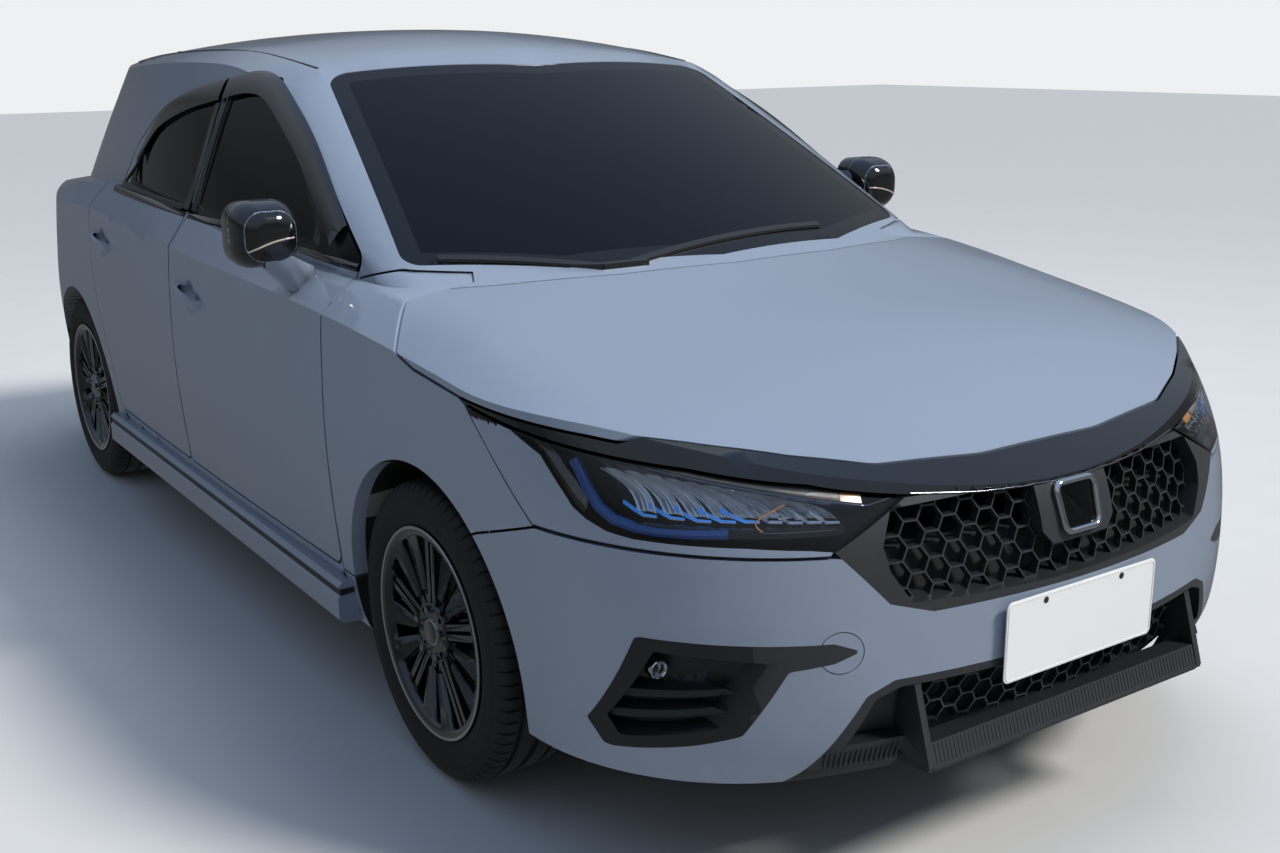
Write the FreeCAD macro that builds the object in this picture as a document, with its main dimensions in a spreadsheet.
import FreeCAD, Part
import math
import os

# Five-door hatchback car. Millimetres, +Z up, the nose points to -Y, the car's left side is +X.
# The origin is on the ground, halfway along the car and midway between its sides.

os.makedirs("parts", exist_ok=True)
doc = FreeCAD.newDocument("hatchback")
V = FreeCAD.Vector

# Driving sizes: name, value
SIZES = [
    ("car_length", 4369), ("car_width", 1736), ("wheelbase", 2589), ("front_axle_y", -1275),
    ("axle_height", 305), ("front_track", 1497), ("rear_track", 1483),
    ("tyre_radius", 305), ("tyre_width", 187), ("rim_radius", 203), ("rim_lip", 213), ("rim_wall", 11),
    ("front_arch_radius", 352), ("rear_arch_radius", 348), ("front_well_inner", 480),
    ("rear_well_inner", 600), ("liner_wall", 9),
    ("floor_top", 236), ("belt_z", 975), ("belt_overlap", 90), ("rear_floor", 420), ("tunnel_wall", 34), ("bench_step_y", 740),
    ("skin", 32), ("side_wall", 105), ("pillar_wall", 46), ("roof_wall", 30),
    ("shut_gap", 5), ("fit_gap", 0.3), ("bearing_gap", 0.05), ("glass_wall", 6), ("glass_gap", 3),
    ("firewall_y", -1010), ("firewall_wall", 40), ("cowl_front_y", -1200), ("cowl_z", 915),
    ("axle_tunnel_front", 960), ("axle_tunnel_rear", 2080), ("axle_tunnel_half", 605),
    ("plate_width", 392), ("plate_height", 148), ("plate_wall", 4), ("plate_bottom", 367),
    ("hatch_hinge_y", 1560), ("tailgate_bottom", 706), ("hatch_edge_wall", 8), ("hatch_edge_width", 22),
    ("kingpin_x", 688), ("kingpin_radius", 8), ("column_x", 370), ("column_y", -455), ("column_z", 905),
    ("column_tilt", 24), ("wheel_grip_radius", 184), ("wheel_grip_wall", 15), ("boss_radius", 58),
    ("boss_height", 44), ("boss_drop", 24), ("bar_width", 34), ("bar_height", 16),
    ("engine_width", 760), ("engine_depth", 480), ("engine_height", 430), ("engine_y", -1720),
    ("engine_z", 250), ("disc_radius", 138), ("disc_wall", 22), ("disc_inset", 40), ("hub_radius", 62),
    ("hub_bore", 27), ("bolt_circle", 50), ("bolt_hole", 6.5), ("spoke_groups", 5),
    ("rail_x", 400), ("rail_width", 66), ("rail_z", 330), ("rail_height", 90), ("carrier_y", -1990),
    ("carrier_half", 500), ("carrier_low", 240), ("carrier_high", 620), ("beam_half", 465),
    ("beam_low", 425), ("beam_high", 510), ("nose_depth", 45), ("lamp_depth", 90), ("tail_lamp_depth", 70),
    ("mesh_recess", 14), ("mesh_wall", 14), ("cell_width", 50), ("cell_height", 42),
    ("cell_bar", 3.4), ("low_cell_width", 44), ("low_cell_height", 38), ("pocket_depth", 36), ("valance_sink", 10), ("recess_sink", 16),
    ("pipe_radius", 22), ("pipe_x", 150), ("pipe_z", 166),
    ("skirt_x", 872), ("dash_half", 740), ("seat_width", 480), ("bench_half", 560), ("blade_width", 14),
]
sheet = doc.addObject("Spreadsheet::Sheet", "Sizes")
for row, (alias, value) in enumerate(SIZES, 1):
    sheet.set("A%d" % row, alias)
    sheet.set("B%d" % row, str(value))
    sheet.setAlias("B%d" % row, alias)
doc.recompute()


class Sizes:
    """The sheet's cells as plain numbers."""

    def __getattr__(self, alias):
        return float(getattr(sheet, alias))


size = Sizes()
NODES = {}
half_length = size.car_length / 2
half_width = size.car_width / 2
rear_axle_y = size.front_axle_y + size.wheelbase


def keep(name, shape):
    """Store a shape as the document object of one sub-part."""
    feature = doc.addObject("Part::Feature", name)
    feature.Label = name
    feature.Shape = shape
    NODES[name] = feature
    return feature


def mirrored(shape):
    return shape.mirror(V(0, 0, 0), V(1, 0, 0))


def both(shape):
    return Part.makeCompound([shape, mirrored(shape)])


def block(x0, x1, y0, y1, z0, z1):
    return Part.makeBox(x1 - x0, y1 - y0, z1 - z0, V(x0, y0, z0))


def cylinder_x(radius, x0, x1, y, z):
    return Part.makeCylinder(radius, x1 - x0, V(x0, y, z), V(1, 0, 0))


def biggest(shape, count=1):
    """The largest solids of a boolean's result, without loose slivers."""
    solids = sorted(shape.Solids, key=lambda solid: -solid.Volume)[:count]
    return solids[0] if count == 1 else Part.makeCompound(solids)


# Plan outlines: a nose arc, corner arcs, slightly bowed sides and a tail arc, all tangent.

def tangent_circle(centre_a, radius_a, centre_b, radius_b, radius, toward):
    """Centre of a circle inside two circles and tangent to both, on the side of toward (+1 or -1 in Y)."""
    a, b = radius_a - radius, radius_b - radius
    gap = centre_b - centre_a
    reach = gap.Length
    along = (a * a - b * b + reach * reach) / (2 * reach)
    across = math.sqrt(max(a * a - along * along, 0))
    step = gap / reach
    normal = V(-step.y, step.x, 0)
    middle = centre_a + step * along
    choices = [middle + normal * across, middle - normal * across]
    choices = [point for point in choices if point.x > 0] or choices
    return max(choices, key=lambda point: toward * point.y)


def plan_outline(z, width, front, nose_radius, front_corner, rear, tail_radius, rear_corner, bow, middle, inset):
    """Closed wire at height z; inset moves every arc inwards by the same amount."""
    nose_centre = V(0, front + nose_radius, 0)
    tail_centre = V(0, rear - tail_radius, 0)
    side_centre = V(width - bow, middle, 0)
    nose_r, tail_r, side_r = nose_radius - inset, tail_radius - inset, bow - inset
    front_r, rear_r = front_corner - inset, rear_corner - inset
    front_c = tangent_circle(nose_centre, nose_radius, side_centre, bow, front_corner, -1)
    rear_c = tangent_circle(tail_centre, tail_radius, side_centre, bow, rear_corner, 1)

    def rim(centre, radius, through):
        way = through - centre
        return centre + way * (radius / way.Length)

    nose_way = (front_c - nose_centre).normalize()
    side_way_f = (front_c - side_centre).normalize()
    side_way_r = (rear_c - side_centre).normalize()
    tail_way = (rear_c - tail_centre).normalize()
    nose_end = nose_centre + nose_way * nose_r
    front_mid = front_c + (nose_way + side_way_f).normalize() * front_r
    side_start = side_centre + side_way_f * side_r
    side_mid = side_centre + (side_way_f + side_way_r).normalize() * side_r
    side_end = side_centre + side_way_r * side_r
    rear_mid = rear_c + (tail_way + side_way_r).normalize() * rear_r
    tail_end = tail_centre + tail_way * tail_r
    nose = V(0, front + inset, 0)
    tail = V(0, rear - inset, 0)

    def flip(point):
        return V(-point.x, point.y, 0)

    arcs = [
        (flip(nose_end), nose, nose_end), (nose_end, front_mid, side_start),
        (side_start, side_mid, side_end), (side_end, rear_mid, tail_end),
        (tail_end, tail, flip(tail_end)), (flip(tail_end), flip(rear_mid), flip(side_end)),
        (flip(side_end), flip(side_mid), flip(side_start)), (flip(side_start), flip(front_mid), flip(nose_end)),
    ]
    lift = V(0, 0, z)
    edges = [Part.Arc(p + lift, q + lift, r + lift).toShape() for p, q, r in arcs]
    return Part.Wire(edges)


# Lower body by level: z, half width, nose y, nose radius, front corner, tail y, tail radius, rear corner
WALL_LEVELS = [
    (195, -46, -2080, 1500, 430, 2090, 2200, 560),
    (260, -30, -2152, 1550, 480, 2145, 2200, 620),
    (360, -18, -2178, 1600, 520, 2174, 2200, 680),
    (500, -6, -2179, 1650, 550, 2184.5, 2200, 700),
    (640, 0, -2156, 1600, 560, 2176, 2200, 700),
    (760, -2, -2098, 1500, 560, 2146, 2200, 690),
    (880, -8, -2010, 1400, 540, 2118, 2200, 680),
    (960, -14, -1955, 1360, 530, 2096, 2200, 670),
    (1040, -20, -1893, 1330, 520, 2066, 2200, 660),
    (1120, -26, -1830, 1300, 510, 2030, 2200, 650),
]
WALL_BOW = 52000
WALL_MIDDLE = 0


def body_walls(inset):
    stretch = half_length / 2184.5
    wires = []
    for z, width, front, nose, corner, rear, tail, rear_corner in WALL_LEVELS:
        wires.append(plan_outline(z, half_width + width, front * stretch, nose, corner, rear * stretch,
                                  tail, rear_corner, WALL_BOW, WALL_MIDDLE, inset))
    return Part.makeLoft(wires, True, False)


# Top of the lower body by station: y, centre z, edge x, edge z, crease z, low z (crease and low at fixed x)
TOP_STATIONS = [
    (-2330, 560, 560, 545, 470, 330),
    (-2180, 664, 600, 646, 570, 430),
    (-2050, 752, 640, 728, 660, 530),
    (-1850, 840, 690, 806, 742, 620),
    (-1600, 893, 722, 862, 806, 700),
    (-1275, 940, 742, 916, 846, 745),
    (-1000, 982, 762, 944, 868, 752),
    (-700, 990, 785, 952, 884, 735),
    (0, 1010, 799, 984, 900, 740),
    (700, 1040, 797, 1022, 914, 748),
    (1300, 1030, 776, 1000, 905, 745),
    (1800, 1000, 735, 965, 880, 730),
    (2330, 950, 690, 915, 840, 700),
]
CREASE_X = 864
LOW_X = 960


def mirrored_section(y, points_of_half, bottom, centre):
    """Section normal to Y: two arcs a side over a flat bottom, and one crown arc."""
    (edge_x, edge_z), (mid_x, mid_z), (low_x, low_z) = points_of_half
    left = [V(edge_x, y, edge_z), V(mid_x, y, mid_z), V(low_x, y, low_z)]
    right = [V(-p.x, p.y, p.z) for p in left]
    foot_left, foot_right = V(low_x, y, bottom), V(-low_x, y, bottom)
    edges = [
        Part.makeLine(foot_right, foot_left),
        Part.makeLine(foot_left, left[2]),
        Part.Arc(left[2], left[1], left[0]).toShape(),
        Part.Arc(left[0], V(0, y, centre), right[0]).toShape(),
        Part.Arc(right[0], right[1], right[2]).toShape(),
        Part.makeLine(right[2], foot_right),
    ]
    return Part.Wire(edges)


def body_top(drop):
    wires = []
    for y, centre, edge_x, edge_z, crease, low in TOP_STATIONS:
        half = [(edge_x - drop / 2, edge_z - drop), (CREASE_X - drop, crease - drop), (LOW_X - drop, low - drop)]
        wires.append(mirrored_section(y, half, 60, centre - drop))
    return Part.makeLoft(wires, True, False)


# Cabin by level: z, half width, screen y, screen radius, pillar corner, backlight y, its radius, rear corner
CABIN_LEVELS = [
    (860, 846, -1330, 1750, 120, 2130, 1900, 380),
    (960, 806, -1150, 1750, 120, 2085, 1900, 380),
    (1100, 752, -885, 1700, 120, 2020, 1900, 390),
    (1250, 692, -588, 1650, 120, 1940, 1800, 400),
    (1390, 634, -296, 1600, 120, 1860, 1700, 400),
    (1520, 580, -25, 1550, 120, 1780, 1600, 380),
]
CABIN_BOW = 9500
CABIN_MIDDLE = 100


def cabin_walls(inset):
    wires = []
    for z, width, front, screen, corner, rear, back, rear_corner in CABIN_LEVELS:
        wires.append(plan_outline(z, width, front, screen, corner, rear, back, rear_corner,
                                  CABIN_BOW, CABIN_MIDDLE, inset))
    return Part.makeLoft(wires, True, False)


# Roof by station: y, centre z, edge x, edge z, mid z, low z
ROOF_STATIONS = [
    (-1500, 1330, 560, 1290, 1240, 1100),
    (-700, 1378, 565, 1336, 1290, 1150),
    (-300, 1404, 572, 1360, 1312, 1170),
    (0, 1450, 578, 1400, 1350, 1200),
    (350, 1470, 578, 1418, 1366, 1210),
    (800, 1466, 565, 1412, 1356, 1200),
    (1250, 1446, 540, 1392, 1330, 1180),
    (1650, 1414, 505, 1362, 1296, 1150),
    (2300, 1352, 440, 1300, 1230, 1100),
]
ROOF_MID_X = 78
ROOF_LOW_X = 200


def roof_form(drop):
    wires = []
    for y, centre, edge_x, edge_z, mid_z, low_z in ROOF_STATIONS:
        half = [(edge_x, edge_z - drop), (edge_x + ROOF_MID_X, mid_z - drop), (edge_x + ROOF_LOW_X, low_z - drop)]
        wires.append(mirrored_section(y, half, 700, centre - drop))
    return Part.makeLoft(wires, True, False)


def offset_outline(points, grow):
    """Corners of a closed outline (a, b, corner radius) moved outwards by grow along every side."""
    count = len(points)
    turn = sum(points[i][0] * points[(i + 1) % count][1] - points[(i + 1) % count][0] * points[i][1]
               for i in range(count))
    way = 1 if turn > 0 else -1
    moved = []
    for i in range(count):
        before, here, after = points[i - 1], points[i], points[(i + 1) % count]
        ax, ay = here[0] - before[0], here[1] - before[1]
        bx, by = after[0] - here[0], after[1] - here[1]
        la, lb = math.hypot(ax, ay), math.hypot(bx, by)
        ax, ay, bx, by = ax / la, ay / la, bx / lb, by / lb
        normal_x, normal_y = ay * way + by * way, -ax * way - bx * way
        scale = grow / max(1 + ax * bx + ay * by, 0.2)
        moved.append((here[0] + normal_x * scale, here[1] + normal_y * scale, here[2]))
    return moved


def outline_wire(points, place):
    """Wire with rounded corners; place turns an outline's two numbers into a point."""
    count = len(points)
    starts, ends, mids = [], [], []
    for i in range(count):
        before, here, after = points[i - 1], points[i], points[(i + 1) % count]
        corner = V(here[0], here[1], 0)
        to_before = (V(before[0], before[1], 0) - corner).normalize()
        to_after = (V(after[0], after[1], 0) - corner).normalize()
        angle = to_before.getAngle(to_after)
        radius = here[2]
        if radius <= 0 or angle > math.pi - 0.02:
            starts.append(corner)
            ends.append(corner)
            mids.append(None)
            continue
        reach = radius / math.tan(angle / 2)
        start, end = corner + to_before * reach, corner + to_after * reach
        bisector = (to_before + to_after).normalize()
        mid = corner + bisector * (radius / math.sin(angle / 2) - radius)
        starts.append(start)
        ends.append(end)
        mids.append(mid)
    edges = []
    for i in range(count):
        if mids[i] is not None:
            edges.append(Part.Arc(place(starts[i]), place(mids[i]), place(ends[i])).toShape())
        following = starts[(i + 1) % count]
        edges.append(Part.makeLine(place(ends[i]), place(following)))
    return Part.Wire(edges)


TAPER = 0.11
DOOR_TAPER = 0.14
TAPER_X = 862


PLACES = {
    "X": lambda p, depth: V(depth, p.x, p.y),
    "Y": lambda p, depth: V(p.x, depth, p.y),
    "Z": lambda p, depth: V(p.x, p.y, depth),
}


def drafted_prism(points, axis, start, end, grow_start, grow_end):
    """Solid of an outline along one axis whose sides lean: moved out by grow_start at one end, grow_end at the other."""
    wires = []
    for depth, grow in ((start, grow_start), (end, grow_end)):
        wires.append(outline_wire(offset_outline(points, grow), lambda p, depth=depth: PLACES[axis](p, depth)))
    return Part.makeLoft(wires, True, True)


def side_prism(points, grow=0, inner_x=450, outer_x=1000, taper=TAPER):
    """Solid of a side view outline (y, z, radius), drafted so that it narrows inwards."""
    return drafted_prism(points, "X", outer_x, inner_x, grow + (outer_x - TAPER_X) * taper,
                         grow + (inner_x - TAPER_X) * taper)


def straight_prism(points, axis, low, high, grow=0):
    """Solid of an outline along one axis: X from (y, z), Y from (x, z), Z from (x, y)."""
    wire = outline_wire(offset_outline(points, grow), lambda p: PLACES[axis](p, low))
    ways = {"X": V(high - low, 0, 0), "Y": V(0, high - low, 0), "Z": V(0, 0, high - low)}
    return Part.Face(wire).extrude(ways[axis])


# Outlines in the side view (y, z, corner radius), the same on both sides of the car

FRONT_DOOR = [
    (-862, 322, 30), (168, 322, 20), (168, 1358, 25), (0, 1380, 0), (-150, 1374, 60), (-470, 1236, 0),
    (-862, 1000, 40),
]
REAR_DOOR = [
    (176, 322, 20), (895, 322, 30), (925, 500, 0), (985, 640, 0), (1030, 790, 0), (1032, 960, 30),
    (935, 1150, 0), (800, 1245, 0), (420, 1328, 0), (176, 1357, 20),
]
FRONT_WINDOW = [
    (-706, 984, 12), (128, 1003, 20), (128, 1322, 18), (0, 1340, 0), (-140, 1334, 30), (-440, 1198, 0),
]
REAR_WINDOW = [
    (216, 1006, 20), (856, 1022, 20), (840, 1115, 0), (745, 1205, 0), (400, 1290, 0), (216, 1312, 20),
]
# Bonnet's lower edge from the cowl to the nose, then round over the top
BONNET_SIDE = [
    (-1010, 985, 0), (-1100, 930, 0), (-1219, 866, 0), (-1290, 848, 0), (-1465, 829, 0), (-1759, 808, 0),
    (-1903, 792, 0), (-1925, 765, 0), (-1990, 700, 0), (-2330, 560, 0), (-2330, 1150, 0), (-1010, 1150, 0),
]
# Bonnet's front edge in plan, where its skin meets the strip; the edge leans forward to its top
SEAM_HALF = [(370, -2028, 90), (497, -1962, 90), (600, -1890, 60), (760, -1760, 0), (1000, -1500, 0), (1000, -800, 0)]
SEAM_PLAN = [(-x, y, r) for x, y, r in reversed(SEAM_HALF)] + [(-150, -2062, 200), (150, -2062, 200)] + SEAM_HALF
SEAM_Z = 750
SEAM_LEAN = 0.25
GARNISH_SIDE = [
    (-1465, 824, 0), (-1465, 960, 0), (-2330, 960, 0), (-2330, 610, 0), (-2110, 702, 0), (-2020, 742, 0),
    (-1903, 768, 0), (-1700, 792, 0),
]
LAMP_SIDE = [
    (-1490, 814, 0), (-1700, 786, 0), (-1903, 762, 0), (-2020, 736, 0), (-2110, 696, 0), (-2200, 650, 0),
    (-2200, 628, 0), (-1690, 646, 0),
]
LAMP_FRONT = [(352, 715, 0), (492, 640, 0), (560, 560, 0), (1000, 560, 0), (1000, 900, 0), (340, 900, 0)]
BUMPER_SIDE = [
    (-1275, 480, 0), (-1355, 513, 0), (-1518, 583, 0), (-1694, 640, 0), (-2250, 622, 0), (-2250, 222, 0),
    (-1275, 222, 0),
]
FENDER_SIDE = [
    (-868, 318, 0), (-868, 952, 0), (-960, 975, 0), (-1030, 966, 0), (-1106, 919, 0), (-1222, 858, 0),
    (-1290, 841, 0), (-1465, 823, 0), (-1483, 816, 0), (-1686, 651, 0), (-1694, 645, 0), (-1518, 588, 0), (-1355, 518, 0),
    (-1270, 484, 0), (-1100, 318, 0),
]
REAR_BUMPER_SIDE = [
    (1500, 60, 0), (1500, 390, 0), (1640, 436, 0), (1690, 600, 0), (1820, 690, 0), (2250, 700, 0), (2250, 60, 0),
]
TAILGATE_REAR = [
    (-590, 706, 60), (590, 706, 60), (668, 930, 120), (612, 1070, 0), (452, 1500, 0), (-452, 1500, 0),
    (-612, 1070, 0), (-668, 930, 120),
]
BACKLIGHT_REAR = [(-540, 1080, 50), (540, 1080, 50), (425, 1345, 70), (-425, 1345, 70)]
SCREEN_PLAN = [
    (-700, -958, 50), (-380, -1094, 0), (0, -1136, 0), (380, -1094, 0), (700, -958, 50), (560, -262, 60),
    (0, -330, 0), (-560, -262, 60),
]
GRILLE_FRONT = [
    (-352, 708, 0), (-492, 638, 0), (-410, 546, 0), (-330, 522, 0), (330, 522, 0), (410, 546, 0), (492, 638, 0),
    (352, 708, 0),
]
MESH_FRONT = [
    (-366, 549, 10), (366, 549, 10), (402, 600, 0), (411, 640, 20), (385, 697, 0), (-385, 697, 0), (-411, 640, 20),
    (-402, 600, 0),
]
EMBLEM_FRONT = [(-70, 592, 8), (70, 592, 8), (92, 616, 8), (92, 720, 0), (-92, 720, 0), (-92, 616, 8)]
LOW_GRILLE_FRONT = [(-400, 412, 14), (400, 412, 14), (448, 390, 20), (500, 300, 0), (-500, 300, 0), (-448, 390, 20)]
LOW_POCKET_FRONT = [(-388, 398, 10), (388, 398, 10), (432, 382, 14), (478, 290, 0), (-478, 290, 0), (-432, 382, 14)]
LOW_MESH_FRONT = [(-352, 398, 0), (352, 398, 0), (352, 290, 0), (-352, 290, 0)]
CHIN_FRONT = [(358, 299.7, 0), (500, 299.7, 0), (545, 222, 0), (358, 222, 0)]
CHIN_OPENING = [(-500, 299.7, 0), (500, 299.7, 0), (558, 199.7, 0), (-558, 199.7, 0)]
CHIN_BLADE_SIDE = [(-2170, 299.7, 0), (-2184, 258, 4), (-2182, 252, 0), (-2122, 248, 0), (-2131, 299.7, 0)]
CHIN_FIN_SIDE = [(-2184, 262, 0), (-2182, 254, 0), (-2110, 248, 0), (-2096, 299, 0), (-2112, 397.7, 0), (-2142, 397.7, 0)]
FOG_FRONT = [
    (752, 492, 8), (505, 490, 0), (462, 473, 4), (505, 456, 0), (572, 446, 10), (630, 330, 14), (682, 308, 10),
    (772, 276, 10), (790, 322, 14),
]
FOG_POCKET_FRONT = [(734, 470, 4), (600, 462, 4), (655, 345, 10), (690, 330, 6), (762, 304, 6), (775, 338, 8)]
FOG_SLATS_FRONT = [
    [(800, 384, 0), (650, 412, 0), (632, 405, 0), (800, 368, 0)], [(800, 340, 0), (662, 378, 0), (645, 370, 0), (800, 324, 0)],
]
FOG_LAMP = (737, 433, 18)
TOW_COVER = (-493, 473, 37)
PLATE_RECESS_REAR = [(-270, 762, 12), (270, 762, 12), (250, 884, 12), (-250, 884, 12)]
VALANCE_REAR = [(-520, 200, 0), (520, 200, 0), (560, 330, 30), (470, 372, 30), (-470, 372, 30), (-560, 330, 30)]
TAIL_LAMP_REAR = [(627, 780, 20), (900, 780, 0), (900, 930, 0), (680, 930, 20)]
COWL_PLAN = [
    (-1000, -1000, 0), (-740, -1040, 0), (-560, -1110, 0), (-300, -1165, 0), (0, -1186, 0), (300, -1165, 0),
    (560, -1110, 0), (740, -1040, 0), (1000, -1000, 0), (1000, -2400, 0), (-1000, -2400, 0),
]


def form(inset):
    """The lower body moved inwards by inset."""
    return body_walls(inset).common(body_top(inset))


gap = size.shut_gap
fit = size.fit_gap
axle_z = size.axle_height
front_axle_y = size.front_axle_y
FAR = 1000
NOSE_END = -2300
TAIL_END = 2300

outer = form(0).fuse(cabin_walls(0).common(roof_form(0)))
skin_core = form(size.skin)
fit_core = form(size.skin + fit)
trim_core = body_walls(size.side_wall).common(body_top(size.pillar_wall))
cabin_core = cabin_walls(size.pillar_wall).common(roof_form(size.roof_wall))

front_well = both(cylinder_x(size.front_arch_radius, size.front_well_inner, FAR, front_axle_y, axle_z))
rear_well = both(cylinder_x(size.rear_arch_radius, size.rear_well_inner, FAR, rear_axle_y, axle_z))
rear_house = both(cylinder_x(size.rear_arch_radius + size.liner_wall, size.rear_well_inner - size.liner_wall, FAR,
                             rear_axle_y, axle_z))
front_house = both(cylinder_x(size.front_arch_radius + size.liner_wall, size.front_well_inner - size.liner_wall,
                              FAR, front_axle_y, axle_z))

# The cabin's hollow: down to the floor, over the step under the bench, and up to the roof lining
side_room = trim_core.common(block(-FAR, FAR, size.firewall_y, TAIL_END, size.floor_top, size.belt_z))
side_room = side_room.fuse(cabin_core.common(block(-FAR, FAR, -1300, TAIL_END, size.belt_z - size.belt_overlap, 1600)))
room = side_room.cut(block(-FAR, FAR, size.bench_step_y, TAIL_END, 0, size.rear_floor)).cut(rear_house)


def pair(name, left_shape):
    keep(name + "_left", left_shape)
    keep(name + "_right", mirrored(left_shape))


# Doors, each as thick as the whole door, with the window cut through: name, outline, window, innermost x of its cut
DOORS = [("door_front", FRONT_DOOR, FRONT_WINDOW, 450), ("door_rear", REAR_DOOR, REAR_WINDOW, 550)]
pane = cabin_walls(size.glass_gap).cut(cabin_walls(size.glass_gap + size.glass_wall))
HANDLE_PLAN = [
    (-8, -100, 4), (20, -84, 20), (28, -30, 30), (28, 30, 30), (20, 84, 20), (-8, 100, 4), (-8, 82, 0), (12, 64, 12),
    (16, 30, 20), (16, -30, 20), (12, -64, 12), (-8, -82, 0),
]
# Handles: node, skin's x, middle y, middle z, rise in degrees
HANDLES = {"door_front": (864, 0, 805, 8), "door_rear": (854, 872, 852, 7)}
HANDLE_HALF = 11
SCOOP_RADIUS = 62
SCOOP_SINK = 18


def handle_shapes(skin_x, y, z, rise):
    """A strap handle in plan, and the round scoop behind it."""
    strap = straight_prism(HANDLE_PLAN, "Z", -HANDLE_HALF, HANDLE_HALF)
    strap.rotate(V(0, 0, 0), V(1, 0, 0), rise)
    strap.translate(V(skin_x, y, z))
    return strap, Part.makeSphere(SCOOP_RADIUS, V(skin_x + SCOOP_RADIUS - SCOOP_SINK, y, z))


for name, outline, window, inner_x in DOORS:
    solid = outer.common(side_prism(outline, 0, inner_x, taper=DOOR_TAPER)).cut(side_room).cut(side_prism(window, 0, inner_x))
    strap, scoop = handle_shapes(*HANDLES[name])
    pair(name, biggest(biggest(solid).cut(scoop).fuse(strap)))
    pair(name + "_glass", biggest(pane.common(side_prism(window, -fit, inner_x))))

lamp_region = straight_prism(LAMP_SIDE, "X", 300, FAR).common(straight_prism(LAMP_FRONT, "Y", NOSE_END, -1300))
plate_front = -half_length
plate_back = plate_front + size.plate_wall


def bonnet_region(grow):
    """The room that the bonnet takes, moved out by grow."""
    low, high = 500, 1200
    sides = straight_prism(BONNET_SIDE, "X", -FAR, FAR, grow)
    cowl = straight_prism(COWL_PLAN, "Z", low, high, grow)
    seam = drafted_prism(SEAM_PLAN, "Z", low, high, grow + (low - SEAM_Z) * SEAM_LEAN, grow + (high - SEAM_Z) * SEAM_LEAN)
    return sides.common(cowl).common(seam)


bonnet_cut = bonnet_region(gap)
keep("bonnet", biggest(outer.common(bonnet_region(0)).cut(skin_core)))
fender = outer.common(straight_prism(FENDER_SIDE, "X", 500, FAR)).cut(skin_core).cut(front_well)
fender = fender.cut(straight_prism(LAMP_SIDE, "X", 300, FAR, 2).common(straight_prism(LAMP_FRONT, "Y", NOSE_END, -1300, 2)))
pair("fender", biggest(fender))
lamp = outer.common(lamp_region).cut(bonnet_cut).cut(body_walls(size.lamp_depth)).cut(straight_prism(GRILLE_FRONT, "Y", NOSE_END, -1900, fit))
pair("headlamp", biggest(lamp))
strip = outer.common(straight_prism(GARNISH_SIDE, "X", -FAR, FAR)).cut(bonnet_cut).cut(skin_core)
keep("nose_garnish", biggest(strip))

# Nose openings: each piece is a slab of the nose's skin with what is open cut from it
nose_core = body_walls(size.nose_depth)


def nose_prism(outline, grow=0, end=-1768):
    return straight_prism(outline, "Y", NOSE_END, end + grow, grow)


def nose_slab(outline, core):
    """The nose's skin inside a front view outline, down to a core."""
    return biggest(outer.common(nose_prism(outline)).cut(core))


def curved_layer(top, bottom, radius, recess, wall):
    """A leaning cylindrical wall behind the nose, whose front view line runs from bottom to top (y, z)."""
    lean = V(0, top[0] - bottom[0], top[1] - bottom[1]).normalize()
    inward = V(0, lean.z, -lean.y)
    spare = 60
    start = V(0, *bottom) + inward * (recess + radius) - lean * spare
    length = (V(0, *top) - V(0, *bottom)).Length + 2 * spare
    return Part.makeCylinder(radius, length, start, lean).cut(Part.makeCylinder(radius - wall, length, start, lean))


def honeycomb(web, outline, middle_z, width, height, bar):
    """What is left of a web after flat-topped hexagons are cut from it, in columns that step by half a cell."""
    column = width * 0.75
    low = min(point[1] for point in outline)
    high = max(point[1] for point in outline)
    count = math.ceil(max(point[0] for point in outline) / column)
    half_w, half_h = (width - bar) / 2, (height - bar) / 2
    corners = ((1, 0), (0.5, 1), (-0.5, 1), (-1, 0), (-0.5, -1), (0.5, -1), (1, 0))
    cells = []
    for index in range(-count, count + 1):
        x = index * column
        z = middle_z + (height / 2 if index % 2 else 0)
        z += height * math.ceil((low - half_h - z) / height)
        while z - half_h < high:
            rim = Part.makePolygon([V(x + half_w * a, NOSE_END, z + half_h * b) for a, b in corners])
            cells.append(Part.Face(rim).extrude(V(0, 600, 0)))
            z += height
    return biggest(web.cut(cells))


# Grille: a bezel whose opening narrows inwards, with the emblem's base left standing, and the mesh seated in it
DRAFT_END = -2000
DRAFT_WIDE, DRAFT_NARROW = 40, -20
mesh_opening = drafted_prism(MESH_FRONT, "Y", NOSE_END, DRAFT_END, DRAFT_WIDE, DRAFT_NARROW)
mesh_room = drafted_prism(MESH_FRONT, "Y", NOSE_END, DRAFT_END, DRAFT_WIDE - fit, DRAFT_NARROW - fit)
bezel = nose_slab(GRILLE_FRONT, nose_core).cut(straight_prism(GARNISH_SIDE, "X", -FAR, FAR, fit))
bezel = bezel.cut(mesh_opening.cut(nose_prism(EMBLEM_FRONT)))
web = curved_layer((-2131, 697), (-2173, 549), 1588, size.mesh_recess, size.mesh_wall)
web = web.common(mesh_room.cut(nose_prism(EMBLEM_FRONT, fit)))
mesh = honeycomb(web, MESH_FRONT, 623, size.cell_width, size.cell_height, size.cell_bar)
keep("grille", Part.makeCompound([biggest(bezel), mesh]))

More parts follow.
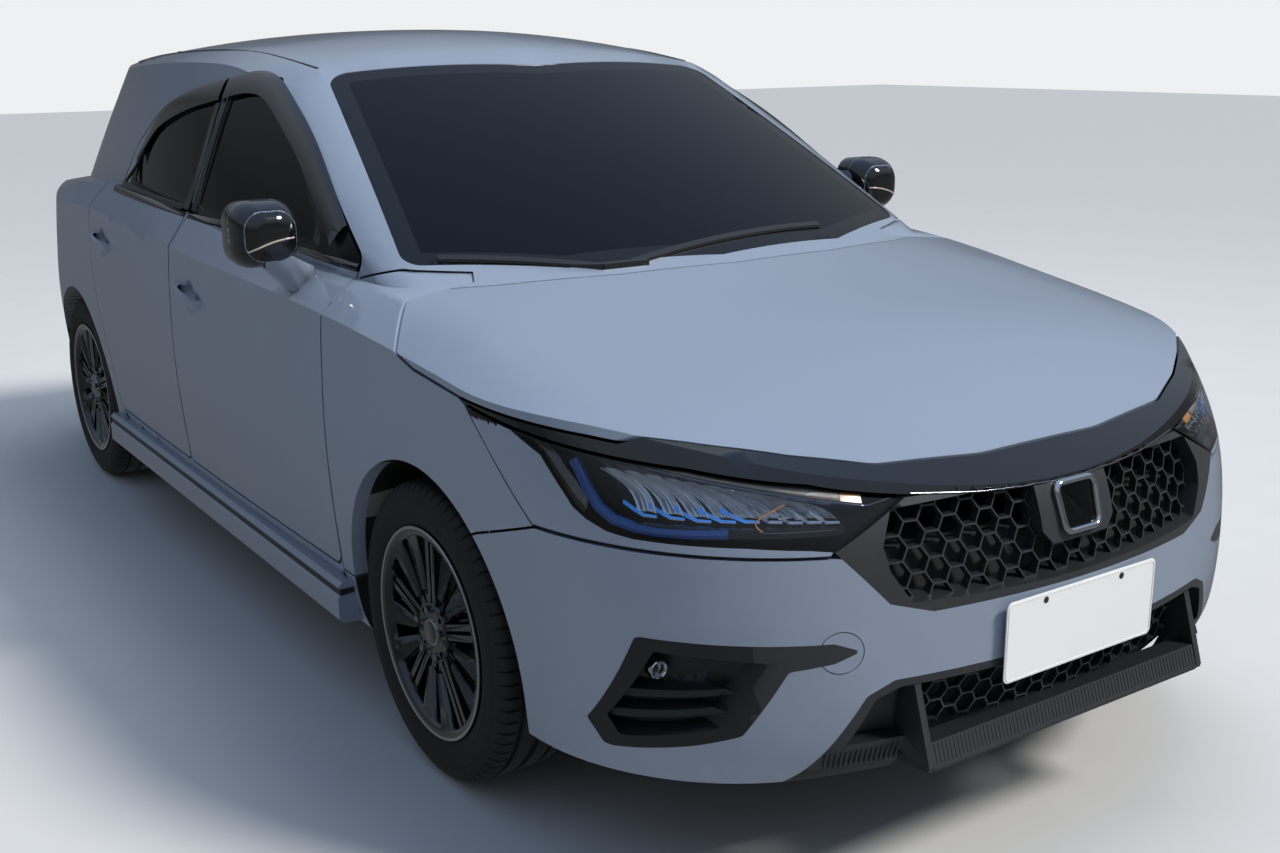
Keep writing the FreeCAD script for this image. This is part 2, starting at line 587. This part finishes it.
# Lower intake: a frame with a closed pocket at each end and a mesh between, over the chin blade and its fins
plate_seat = block(-size.plate_width / 2 - fit, size.plate_width / 2 + fit, NOSE_END, plate_back + fit,
                   size.plate_bottom - fit, size.plate_bottom + size.plate_height + fit)
low_frame = nose_slab(LOW_GRILLE_FRONT, nose_core).cut(plate_seat)
low_frame = low_frame.cut(nose_prism(LOW_POCKET_FRONT).cut(body_walls(size.pocket_depth))).cut(nose_prism(LOW_MESH_FRONT))
low_web = curved_layer((-2180, 412), (-2157, 300), 1600, size.mesh_recess, size.mesh_wall)
low_web = low_web.common(block(-352 + fit, 352 - fit, NOSE_END, -1900, 300, 398 - fit))
low_mesh = honeycomb(low_web, LOW_MESH_FRONT, 345, size.low_cell_width, size.low_cell_height, size.cell_bar)
keep("lower_grille", Part.makeCompound([biggest(low_frame), low_mesh]))
chin_end = nose_slab(CHIN_FRONT, body_walls(size.skin))
fin = straight_prism(CHIN_FIN_SIDE, "X", 352, 366)
blade = straight_prism(CHIN_BLADE_SIDE, "X", -353, 353)
keep("chin_spoiler", biggest(blade.fuse([both(chin_end), both(fin)])))

# Fog lamp bezels: a frame with a pocket, two slats and the lamp left standing in it
lamp_x, lamp_z, lamp_r = FOG_LAMP
standing = Part.makeCompound([nose_prism(outline) for outline in FOG_SLATS_FRONT]).common(body_walls(8))
bulb = Part.makeCylinder(lamp_r, 600, V(lamp_x, NOSE_END, lamp_z), V(0, 1, 0)).common(body_walls(16))
pocket = nose_prism(FOG_POCKET_FRONT).cut(body_walls(size.pocket_depth)).cut([standing, bulb])
fog_bezel = biggest(nose_slab(FOG_FRONT, nose_core).cut(pocket))
keep("fog_bezels", both(fog_bezel))

bumper = outer.common(straight_prism(BUMPER_SIDE, "X", -FAR, FAR)).cut(skin_core).cut(front_well)
plate_pad = block(-170, 170, plate_back + fit, plate_back + size.skin / 2, 398, 508)
tow_x, tow_z, tow_r = TOW_COVER
tow_groove = Part.makeCylinder(tow_r, 600, V(tow_x, NOSE_END, tow_z), V(0, 1, 0)).cut(
    Part.makeCylinder(tow_r - 2, 600, V(tow_x, NOSE_END, tow_z), V(0, 1, 0))).cut(body_walls(3))
openings = [nose_prism(GRILLE_FRONT, fit), nose_prism(LOW_GRILLE_FRONT, fit), nose_prism(CHIN_OPENING, fit),
            both(nose_prism(FOG_FRONT, fit)), tow_groove, plate_seat]
bumper = bumper.fuse(plate_pad)
for opening in openings:
    bumper = bumper.cut(opening)
keep("front_bumper", biggest(bumper))

rear_bumper = outer.common(straight_prism(REAR_BUMPER_SIDE, "X", -FAR, FAR)).cut(skin_core).cut(rear_well)
rear_bumper = rear_bumper.cut(straight_prism(VALANCE_REAR, "Y", 1700, TAIL_END).cut(body_walls(size.valance_sink)))
keep("rear_bumper", biggest(rear_bumper))
hatch_region = straight_prism(TAILGATE_REAR, "Y", size.hatch_hinge_y, TAIL_END)
edge_core = form(size.hatch_edge_wall).fuse(cabin_walls(size.hatch_edge_wall).common(roof_form(size.hatch_edge_wall)))
edge_relief = edge_core.cut(straight_prism(TAILGATE_REAR, "Y", 1400, TAIL_END, -size.hatch_edge_width))
tailgate = outer.common(hatch_region).cut(room).cut(straight_prism(BACKLIGHT_REAR, "Y", 1400, TAIL_END))
tailgate = tailgate.cut(straight_prism(PLATE_RECESS_REAR, "Y", 1700, TAIL_END).cut(body_walls(size.recess_sink)))
keep("tailgate", biggest(tailgate.cut(edge_relief)))
keep("tailgate_glass", biggest(pane.common(straight_prism(BACKLIGHT_REAR, "Y", 1400, TAIL_END, -fit))))
keep("windscreen", biggest(pane.common(straight_prism(SCREEN_PLAN, "Z", 900, 1500, -fit))))
tail_lamp = outer.common(straight_prism(TAIL_LAMP_REAR, "Y", 1700, TAIL_END)).cut(body_walls(size.tail_lamp_depth))
keep("tail_lamps", both(biggest(tail_lamp)))

# Shell: cabin, floor, sills, quarters and roof, with what carries the nose
firewall_front = size.firewall_y - size.firewall_wall
shell = outer.common(block(-FAR, FAR, firewall_front, TAIL_END, 60, 1600).fuse(
    block(-size.dash_half, size.dash_half, size.cowl_front_y, firewall_front, size.cowl_z, 1100)))
shell = shell.cut(room)
hatch_cut = straight_prism(TAILGATE_REAR, "Y", size.hatch_hinge_y - gap, TAIL_END, gap).cut(
    block(-FAR, FAR, FAR, TAIL_END, 0, size.tailgate_bottom - gap))
tail_cut = both(straight_prism(TAIL_LAMP_REAR, "Y", 1700, TAIL_END, fit)).cut(body_walls(size.tail_lamp_depth + fit))
tunnel = block(-size.axle_tunnel_half, size.axle_tunnel_half, size.axle_tunnel_front, size.axle_tunnel_rear, 60,
               size.rear_floor - size.tunnel_wall)
under_bench = body_walls(size.side_wall + gap).common(block(-FAR, FAR, size.bench_step_y, TAIL_END, 0, size.rear_floor))
cuts = [
    front_well, rear_well, straight_prism(SCREEN_PLAN, "Z", 900, 1500), bonnet_cut, hatch_cut, tail_cut, tunnel,
    both(side_prism(FRONT_DOOR, gap)), both(side_prism(REAR_DOOR, gap).cut(under_bench)),
    both(straight_prism(FENDER_SIDE, "X", 500, FAR, gap)).cut(fit_core),
    straight_prism(REAR_BUMPER_SIDE, "X", -FAR, FAR, gap).cut(fit_core),
]
for cutter in cuts:
    shell = shell.cut(cutter)
liner = front_house.cut(front_well).common(fit_core)
liner = liner.common(block(-FAR, FAR, -1800, size.firewall_y - 20, axle_z - 80, FAR))
rail = block(size.rail_x, size.rail_x + size.rail_width, size.carrier_y, size.firewall_y - 20, size.rail_z,
             size.rail_z + size.rail_height)
nose_frame = block(-size.carrier_half, size.carrier_half, -half_length, size.carrier_y, size.carrier_low,
                   size.carrier_high).common(body_walls(size.nose_depth + fit))
beam = block(-size.beam_half, size.beam_half, -half_length, size.carrier_y, size.beam_low, size.beam_high)
beam = beam.common(body_walls(size.skin + fit))
LATCH_HALF = 45
latch = block(-LATCH_HALF, LATCH_HALF, size.carrier_y - 25, size.carrier_y, size.carrier_high - 20, 900).common(fit_core)
engine_mount = block(size.engine_width / 2 + fit, size.rail_x + 10, size.engine_y - 40, size.engine_y + 40,
                     size.rail_z + 20, size.rail_z + 80)
post = block(size.rail_x, size.rail_x + 30, front_axle_y - 30, front_axle_y + 40, 235 + fit, size.rail_z + 10)
lamp_seat = block(size.beam_half, 560, size.carrier_y - 20, size.carrier_y, size.carrier_high - 20, 634.4)
bonnet_stop = block(600, 640, front_axle_y + 20, front_axle_y + 60, 640, 900).common(fit_core)
beam_hanger = block(440, 500, rear_axle_y - 280, rear_axle_y - 240, 320 + fit, size.rear_floor - 10)
additions = [liner, both(rail), nose_frame, beam, latch, both(engine_mount), both(post), both(beam_hanger),
             both(lamp_seat), both(bonnet_stop)]

# Hinge leaves in the shut lines: front y of the gap, low z, high z, inner x, outer x
LEAVES = [
    (-862, 480, 540, 770, 812), (-862, 760, 820, 770, 812),
    (176, 480, 540, 770, 812), (176, 760, 820, 770, 812),
]
for leaf_y, low, high, inner_x, outer_x in LEAVES:
    reach = leaf_y - fit + (TAPER_X - outer_x) * DOOR_TAPER
    additions.append(both(block(inner_x, outer_x, leaf_y - gap - 8, reach, low, high)))
additions.append(both(block(300, 360, size.hatch_hinge_y - gap - 10, size.hatch_hinge_y - fit, 1396, 1410)))
shell = biggest(shell.fuse(additions))
keep("body_shell", shell)


def primitive(kind, name, **cells):
    """A Part primitive whose sizes are bound to the sheet."""
    thing = doc.addObject("Part::" + kind, name)
    for cell, expression in cells.items():
        thing.setExpression(cell, expression)
    return thing


def sized_box(name, length, width, height, x, y, z):
    box = primitive("Box", name, Length=length, Width=width, Height=height)
    box.setExpression("Placement.Base.x", x)
    box.setExpression("Placement.Base.y", y)
    box.setExpression("Placement.Base.z", z)
    return box


def finished(thing, name):
    thing.Label = name
    NODES[name] = thing
    return thing


engine = sized_box("engine_box", "Sizes.engine_width", "Sizes.engine_depth", "Sizes.engine_height",
                   "-Sizes.engine_width / 2", "Sizes.engine_y - Sizes.engine_depth / 2", "Sizes.engine_z")
finished(engine, "engine_block")
plate = sized_box("plate_box", "Sizes.plate_width", "Sizes.plate_wall", "Sizes.plate_height",
                  "-Sizes.plate_width / 2", "-Sizes.car_length / 2", "Sizes.plate_bottom")
finished(plate, "number_plate")


# Wheels: profiles in the wheel's own plane (distance from its middle, radius), revolved about the axle

def revolved(profile, x, y, z):
    corners = [V(px, radius, 0) for px, radius in profile]
    solid = Part.Face(Part.makePolygon(corners + corners[:1])).revolve(V(0, 0, 0), V(1, 0, 0), 360)
    solid.translate(V(x, y, z))
    return solid


def tyre_shape(x, y):
    half, top, seat_r = size.tyre_width / 2, size.tyre_radius, size.rim_radius + size.bearing_gap
    flank = [(half - 12.2, seat_r), (half - 12.2, size.rim_lip + 2), (half - 3, size.rim_lip + 12), (half, top - 55),
             (half - 4, top - 28), (half - 15, top - 7), (half - 28, top - 1.5)]
    profile = flank + [(0, top)] + [(-px, radius) for px, radius in reversed(flank)]
    return revolved(profile, x, y, axle_z)


def rim_shape(x, y):
    """Barrel, spokes, hub and brake disc of a left wheel; the outside faces +X."""
    half = size.tyre_width / 2 - 12
    bead, lip, inner = size.rim_radius, size.rim_lip, size.rim_radius - size.rim_wall
    profile = [(-half - 7, lip), (-half - 1, lip), (-half - 1, bead), (half + 1, bead), (half + 1, lip), (half + 7, lip),
               (half + 5, inner + 6), (half - 14, inner), (-half + 10, inner), (-half - 7, inner + 6)]
    barrel = revolved(profile, 0, 0, 0)
    pieces = [cylinder_x(size.hub_radius, size.disc_inset - 2, 78, 0, 0)]
    # Spokes: turn as a share of a group, near edge and far edge at the start, the same at the rim, start radius, back, depth
    for turn, near_a, near_b, far_a, far_b, start, back, depth in (
            (0, 3, 15, 5, 18, 40, 52, 24), (0, -15, -3, -18, -5, 40, 52, 24),
            (1 / 3, -10, 10, -25, 25, 86, 58, 18), (-1 / 3, -10, 10, -25, 25, 86, 58, 18),
            (1 / 3, -8, 8, -13, 13, 40, 50, 20), (-1 / 3, -8, 8, -13, 13, 40, 50, 20)):
        for index in range(int(size.spoke_groups)):
            spoke = Part.Face(Part.makePolygon([
                V(back, near_a, start), V(back, near_b, start), V(back, far_b, inner + 4), V(back, far_a, inner + 4),
                V(back, near_a, start)])).extrude(V(depth, 0, 0))
            spoke.rotate(V(0, 0, 0), V(1, 0, 0), (index + turn) * 360 / size.spoke_groups)
            pieces.append(spoke)
    pieces.append(cylinder_x(size.disc_radius, -size.disc_inset, -size.disc_inset + size.disc_wall, 0, 0))
    pieces.append(cylinder_x(size.hub_radius + 6, -size.disc_inset, size.disc_inset, 0, 0))
    rim = barrel.fuse(pieces).cut(cylinder_x(size.hub_bore, -60, 100, 0, 0))
    for index in range(4):
        angle = math.radians(45 + 90 * index)
        rim = rim.cut(cylinder_x(size.bolt_hole, -60, 100, size.bolt_circle * math.cos(angle),
                                 size.bolt_circle * math.sin(angle)))
    rim.translate(V(x, y, axle_z))
    return biggest(rim)


for name, track, y in (("front", size.front_track, front_axle_y), ("rear", size.rear_track, rear_axle_y)):
    pair("tyre_" + name, tyre_shape(track / 2, y))
    pair("wheel_" + name, rim_shape(track / 2, y))

# Front knuckles: hub carrier, upright, strut and steering arm, turning about the kingpin
hub_x = size.front_track / 2
spindle_radius = size.hub_bore - size.bearing_gap
WISHBONE_Z, WISHBONE_WALL = 176, 9
pin_top = axle_z - 98
carrier_plate = cylinder_x(70, hub_x - 68, hub_x - 46, front_axle_y, axle_z)
spindle = cylinder_x(spindle_radius, hub_x - 68, hub_x + 30, front_axle_y, axle_z)
upright = block(size.kingpin_x - 24, hub_x - 50, front_axle_y - 26, front_axle_y + 26, axle_z - 115, axle_z + 140)
strut = Part.makeCylinder(22, 205, V(size.kingpin_x - 68, front_axle_y, axle_z + 112))
bracket = block(size.kingpin_x - 68, size.kingpin_x - 10, front_axle_y - 16, front_axle_y + 16, axle_z + 108, axle_z + 138)
arm = block(size.kingpin_x - 22, size.kingpin_x + 2, front_axle_y, front_axle_y + 120, axle_z - 60, axle_z - 36)
knuckle = carrier_plate.fuse([spindle, upright, strut, bracket, arm])
pin_hole = Part.makeCylinder(size.kingpin_radius + size.bearing_gap, 60, V(size.kingpin_x, front_axle_y, pin_top - 60))
pair("knuckle", biggest(knuckle.cut(pin_hole)))

cross = block(-430, 430, front_axle_y - 70, front_axle_y + 90, 175, 235)
wishbone = Part.Face(Part.makePolygon([
    V(400, front_axle_y - 60, WISHBONE_Z), V(400, front_axle_y + 80, WISHBONE_Z),
    V(size.kingpin_x + 9, front_axle_y + 13, WISHBONE_Z), V(size.kingpin_x + 9, front_axle_y - 13, WISHBONE_Z),
    V(400, front_axle_y - 60, WISHBONE_Z)])).extrude(V(0, 0, WISHBONE_WALL))
kingpin = Part.makeCylinder(size.kingpin_radius, pin_top - fit - WISHBONE_Z, V(size.kingpin_x, front_axle_y, WISHBONE_Z))
keep("front_subframe", biggest(cross.fuse([both(wishbone), both(kingpin)])))

beam = block(-540, 540, rear_axle_y - 300, rear_axle_y - 220, 240, 320)
trailing = block(500, 560, rear_axle_y - 300, rear_axle_y + 50, 250, 310)
stub = cylinder_x(30, 540, size.rear_track / 2 - 50, rear_axle_y, axle_z)
nose_pin = cylinder_x(spindle_radius, 560, size.rear_track / 2 + 30, rear_axle_y, axle_z)
keep("rear_axle_beam", biggest(beam.fuse([both(trailing), both(stub), both(nose_pin)])))

# Exhaust: from the engine's back down and under the floor to the silencer, with its hangers
riser_y = front_axle_y + 132
engine_back = size.engine_y + size.engine_depth / 2
elbow_low, elbow_high = V(size.pipe_x, riser_y, size.pipe_z), V(size.pipe_x, riser_y, 330)
exhaust = Part.makeBox(400, 300, 132, V(60, 1600, 168)).fuse([
    Part.makeCylinder(size.pipe_radius, 1640 - riser_y, elbow_low, V(0, 1, 0)),
    Part.makeCylinder(size.pipe_radius, 330 - size.pipe_z, elbow_low),
    Part.makeCylinder(size.pipe_radius, riser_y - engine_back - fit, elbow_high, V(0, -1, 0)),
    Part.makeSphere(size.pipe_radius, elbow_low), Part.makeSphere(size.pipe_radius, elbow_high),
    block(size.pipe_x - 6, size.pipe_x + 6, 0, 30, size.pipe_z, 194),
])
keep("exhaust", biggest(exhaust))

# Cabin
dash_back = size.firewall_y + fit
DASH = [(dash_back, 640, 0), (dash_back, 948, 0), (-800, 948, 0), (-640, 930, 30), (-600, 860, 30), (-680, 640, 30)]
dash_core = body_walls(size.side_wall + gap + 1).common(body_top(size.pillar_wall + gap))
dash = straight_prism(DASH, "X", -size.dash_half, size.dash_half).common(dash_core)
column_way = V(0, math.cos(math.radians(size.column_tilt)), math.sin(math.radians(size.column_tilt)))
column_top = V(size.column_x, size.column_y, size.column_z)
column = Part.makeCylinder(24, 260, column_top - column_way * (260 + size.boss_drop + fit), column_way)
keep("dashboard", biggest(dash.fuse([column])))

grip = primitive("Torus", "wheel_grip", Radius1="Sizes.wheel_grip_radius", Radius2="Sizes.wheel_grip_wall")
boss = primitive("Cylinder", "wheel_boss", Radius="Sizes.boss_radius", Height="Sizes.boss_height")
boss.setExpression("Placement.Base.z", "-Sizes.boss_drop")
bar = sized_box("wheel_bar", "2 * Sizes.wheel_grip_radius", "Sizes.bar_width", "Sizes.bar_height",
                "-Sizes.wheel_grip_radius", "-Sizes.bar_width / 2", "-Sizes.bar_height / 2")
stem = sized_box("wheel_stem", "Sizes.bar_width", "Sizes.wheel_grip_radius", "Sizes.bar_height",
                 "-Sizes.bar_width / 2", "-Sizes.wheel_grip_radius", "-Sizes.bar_height / 2")
steering = doc.addObject("Part::MultiFuse", "steering_fuse")
steering.Shapes = [grip, boss, bar, stem]
steering.Placement = FreeCAD.Placement(column_top, FreeCAD.Rotation(V(0, 0, 1), column_way))
finished(steering, "steering_wheel")

SEAT = [
    (-480, 330, 30), (-500, 470, 50), (-470, 520, 40), (-60, 470, 60), (60, 560, 0), (150, 1000, 0),
    (172, 1050, 30), (235, 1055, 30), (240, 1000, 0), (210, 800, 0), (150, 420, 60), (80, 330, 30),
]
REST = [(158, 1080, 20), (172, 1190, 25), (232, 1195, 25), (232, 1080, 20)]
REST_HALF = 130
seat_inner = size.column_x - size.seat_width / 2
seat = straight_prism(SEAT, "X", seat_inner, seat_inner + size.seat_width)
foot = block(seat_inner + 50, seat_inner + size.seat_width - 50, -400, 60, size.floor_top + fit, 331)
rest = straight_prism(REST, "X", size.column_x - REST_HALF, size.column_x + REST_HALF)
rods = [Part.makeCylinder(7, 70, V(size.column_x + x, 202, 1030)) for x in (-60, 60)]
pair("seat_front", biggest(seat.fuse([foot, rest] + rods)))
bench_foot = size.rear_floor + fit
BENCH = [
    (size.bench_step_y, bench_foot, 10), (size.bench_step_y - 30, 540, 50), (760, 580, 50), (1130, 520, 60),
    (1250, 900, 0), (1290, 1100, 30), (1350, 1100, 30), (1340, 900, 0), (1280, bench_foot, 10),
]
bench = straight_prism(BENCH, "X", -size.bench_half, size.bench_half)
keep("seat_rear", biggest(bench.cut(rear_house)))

# Mirrors on the doors
# Housing by section from its nose back: y, half width, half height, corner radius
MIRROR_SECTIONS = [(-716, 34, 30, 26), (-702, 56, 52, 40), (-672, 70, 68, 46), (-634, 74, 73, 46), (-598, 72, 71, 44)]
MIRROR_X, MIRROR_Z = 888, 1035


def mirror_outline(half_w, half_h, corner):
    return [(MIRROR_X + half_w * a, MIRROR_Z + half_h * b, corner) for a, b in ((1, 1), (-1, 1), (-1, -1), (1, -1))]


sections = [outline_wire(mirror_outline(w, h, r), lambda p, y=y: V(p.x, y, p.y)) for y, w, h, r in MIRROR_SECTIONS]
housing = Part.makeLoft(sections, True, False)
housing = housing.cut(straight_prism(mirror_outline(64, 63, 36), "Y", -602, -590))
FOOT_SECTION = [(795, 912, 0), (846, 912, 0), (905, 970, 10), (900, 1010, 0), (846, 990, 0), (795, 962, 0)]
foot = straight_prism(FOOT_SECTION, "Y", -700, -645)
door = NODES["door_front_left"].Shape.fuse(NODES["door_front_glass_left"].Shape)
pair("mirror", biggest(housing.fuse([foot]).cut(door)))
# Side skirts: (x in from the outer face, z), with a groove under the top edge
SKIRT_SECTION = [(72, 205), (10, 205), (0, 216), (0, 266), (6, 270), (6, 286), (1, 290), (12, 300), (72, 300)]
skirt = straight_prism([(size.skirt_x - x, z, 0) for x, z in SKIRT_SECTION], "Y", -905, 930).cut(body_walls(-fit))
keep("side_skirts", both(biggest(skirt)))

# Wipers lie on the screen and the cowl: plan of each arm and blade from start to end (x, y)
WIPER_STRIPS = [((-628, -972), (-309, -1116)), ((-309, -1116), (-200, -1128)), ((-240, -1122), (223, -1063)),
                ((223, -1063), (360, -1046))]
WIPER_HEIGHT = 12
wiper_shell = cabin_walls(-WIPER_HEIGHT).fuse(body_top(-WIPER_HEIGHT)).cut(cabin_walls(-fit)).cut(body_top(-fit))


def screen_strip(start, end, width):
    """A bar of the given width over the screen and cowl, from start to end in plan."""
    a, b = V(start[0], start[1], 900), V(end[0], end[1], 900)
    side = (b - a).cross(V(0, 0, 1)).normalize() * (width / 2)
    plan = Part.Face(Part.makePolygon([a + side, b + side, b - side, a - side, a + side]))
    return plan.extrude(V(0, 0, 300)).common(wiper_shell)


strips = [screen_strip(start, end, size.blade_width) for start, end in WIPER_STRIPS]
keep("wipers", Part.makeCompound([strips[0].fuse(strips[1]), strips[2].fuse(strips[3])]))

doc.recompute()
faults = []
for name, feature in NODES.items():
    shape = feature.Shape
    if shape.isNull() or not shape.isValid() or {"Invalid", "Error"} & set(feature.State):
        faults.append(name)
for thing in doc.Objects:
    if {"Invalid", "Error"} & set(thing.State):
        faults.append(thing.Name)
if faults:
    raise RuntimeError("faulty: %s" % ", ".join(faults))
for name, feature in NODES.items():
    feature.Shape.exportStep("parts/%s.step" % name)
print(len(NODES), "sub-parts")
